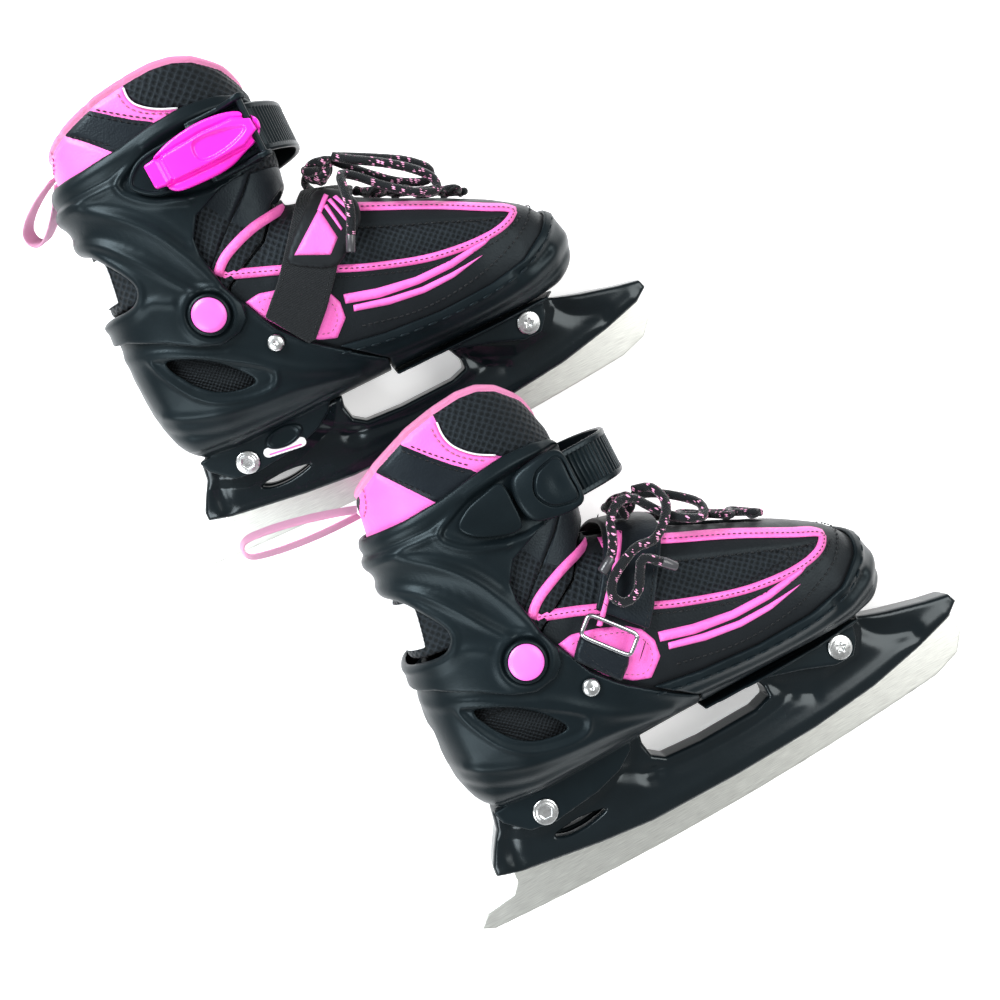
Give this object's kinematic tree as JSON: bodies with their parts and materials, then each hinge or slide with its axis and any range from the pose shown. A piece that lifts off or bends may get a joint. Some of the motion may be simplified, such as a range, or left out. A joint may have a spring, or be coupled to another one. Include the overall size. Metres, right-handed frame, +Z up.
{
  "type": "ice skates",
  "caption": "Pair of size-adjustable hard-shell ice skates with hinged cuffs, ratchet buckles, lace-up inner boots and steel blades, lying on their sides.",
  "frame": {"origin": "on the floor under the middle of the pair's bounding box", "axes": "+X forward towards the toes, +Y towards the tops of the boots, +Z up from the floor the skates lie on"},
  "size_m": [0.3416, 0.4514, 0.1269],
  "materials": {
    "blade_steel": "ground along its length",
    "holder_plastic": "glossy black",
    "shell_plastic": "satin black, finely textured",
    "bolt_metal": "zinc plated",
    "cap_plastic": "satin pink with a black rim",
    "liner_fabric": "black air mesh",
    "collar_fabric": "pink and black padded panels with a pale pink binding",
    "buckle_plastic": "satin black",
    "strap_plastic": "satin black with fine ratchet teeth",
    "webbing": "ribbed pale pink webbing",
    "upper_leather": "black synthetic leather and mesh with pink piping",
    "strap_leather": "black with pink trim",
    "ring_metal": "polished wire",
    "lace_cord": "black braid with pink flecks",
    "lever_plastic": "magenta",
    "button_plastic": "satin black"
  },
  "bodies": {
    "right_boot": {"right_blade": "blade_steel", "right_blade_holder": "holder_plastic", "right_rear_bolt": "bolt_metal", "right_front_bolt": "bolt_metal", "right_heel_shell": "shell_plastic", "right_sole_plate": "shell_plastic", "right_liner_boot": "liner_fabric", "right_outer_pivot_cap": "cap_plastic", "right_inner_pivot_cap": "cap_plastic", "right_outer_side_rivet": "bolt_metal", "right_inner_side_rivet": "bolt_metal"},
    "right_cuff": {"right_cuff": "shell_plastic", "right_liner_collar": "collar_fabric", "right_buckle_base": "buckle_plastic", "right_ratchet_strap": "strap_plastic", "right_strap_receiver": "buckle_plastic", "right_heel_loop": "webbing"},
    "right_lever": {"right_buckle_lever": "lever_plastic"},
    "right_release": {"right_release_button": "button_plastic"},
    "right_size_button": {"right_size_button": "button_plastic"},
    "right_toe": {"right_toe_shell": "shell_plastic", "right_upper": "upper_leather", "right_tongue": "liner_fabric", "right_instep_strap": "strap_leather", "right_strap_ring": "ring_metal", "right_ring_tab": "strap_leather", "right_lace_rows": "lace_cord", "right_lace_knot": "lace_cord", "right_lace_first": "lace_cord", "right_lace_second": "lace_cord"},
    "left_boot": {"left_blade": "blade_steel", "left_blade_holder": "holder_plastic", "left_rear_bolt": "bolt_metal", "left_front_bolt": "bolt_metal", "left_heel_shell": "shell_plastic", "left_sole_plate": "shell_plastic", "left_liner_boot": "liner_fabric", "left_outer_pivot_cap": "cap_plastic", "left_inner_pivot_cap": "cap_plastic", "left_outer_side_rivet": "bolt_metal", "left_inner_side_rivet": "bolt_metal"},
    "left_cuff": {"left_cuff": "shell_plastic", "left_liner_collar": "collar_fabric", "left_buckle_base": "buckle_plastic", "left_ratchet_strap": "strap_plastic", "left_strap_receiver": "buckle_plastic", "left_heel_loop": "webbing"},
    "left_lever": {"left_buckle_lever": "lever_plastic"},
    "left_release": {"left_release_button": "button_plastic"},
    "left_size_button": {"left_size_button": "button_plastic"},
    "left_toe": {"left_toe_shell": "shell_plastic", "left_upper": "upper_leather", "left_tongue": "liner_fabric", "left_instep_strap": "strap_leather", "left_strap_ring": "ring_metal", "left_ring_tab": "strap_leather", "left_lace_rows": "lace_cord", "left_lace_knot": "lace_cord", "left_lace_first": "lace_cord", "left_lace_second": "lace_cord"}
  },
  "joints": [
    {"name": "right_cuff_flex", "type": "hinge", "parent": "right_boot", "child": "right_cuff", "pos_m": [-0.09427, 0.11326, 0.04909], "axis": [0.0297, 0.3825, -0.9235], "range_deg": [-3, 4]},
    {"name": "right_lever_swing", "type": "hinge", "parent": "right_cuff", "child": "right_lever", "pos_m": [-0.03921, 0.15346, 0.11927], "axis": [0, 0.9239, 0.3827], "range_deg": [0, 110]},
    {"name": "right_release_press", "type": "slide", "parent": "right_cuff", "child": "right_release", "axis": [-0.0297, -0.3825, 0.9235], "range_m": [0, 0.0012], "stiffness_N_per_m": 400, "springref_m": -0.001},
    {"name": "right_size_press", "type": "slide", "parent": "right_boot", "child": "right_size_button", "axis": [0.0297, 0.3825, -0.9235], "range_m": [0, 0.002], "stiffness_N_per_m": 400, "springref_m": -0.001},
    {"name": "right_toe_slide", "type": "slide", "parent": "right_boot", "child": "right_toe", "axis": [0.9996, -0.0114, 0.0274], "range_m": [0, 0.02]},
    {"name": "left_cuff_flex", "type": "hinge", "parent": "left_boot", "child": "left_cuff", "pos_m": [-0.03977, -0.10364, 0.04409], "axis": [-0.0087, 0.1323, -0.9912], "range_deg": [-3, 4]},
    {"name": "left_lever_swing", "type": "hinge", "parent": "left_cuff", "child": "left_lever", "pos_m": [0.01631, -0.03382, 0.00468], "axis": [0, -0.9912, -0.1323], "range_deg": [0, 110]},
    {"name": "left_release_press", "type": "slide", "parent": "left_cuff", "child": "left_release", "axis": [-0.0087, 0.1323, -0.9912], "range_m": [0, 0.0012], "stiffness_N_per_m": 400, "springref_m": -0.001},
    {"name": "left_size_press", "type": "slide", "parent": "left_boot", "child": "left_size_button", "axis": [0.0087, -0.1323, 0.9912], "range_m": [0, 0.002], "stiffness_N_per_m": 400, "springref_m": -0.001},
    {"name": "left_toe_slide", "type": "slide", "parent": "left_boot", "child": "left_toe", "axis": [1, 0.0012, -0.0086], "range_m": [0, 0.02]},
    {"name": "left_skate_lift", "type": "slide", "parent": "right_boot", "child": "left_boot", "axis": [0, 0, 1], "range_m": [0, 0.15]}
  ]
}
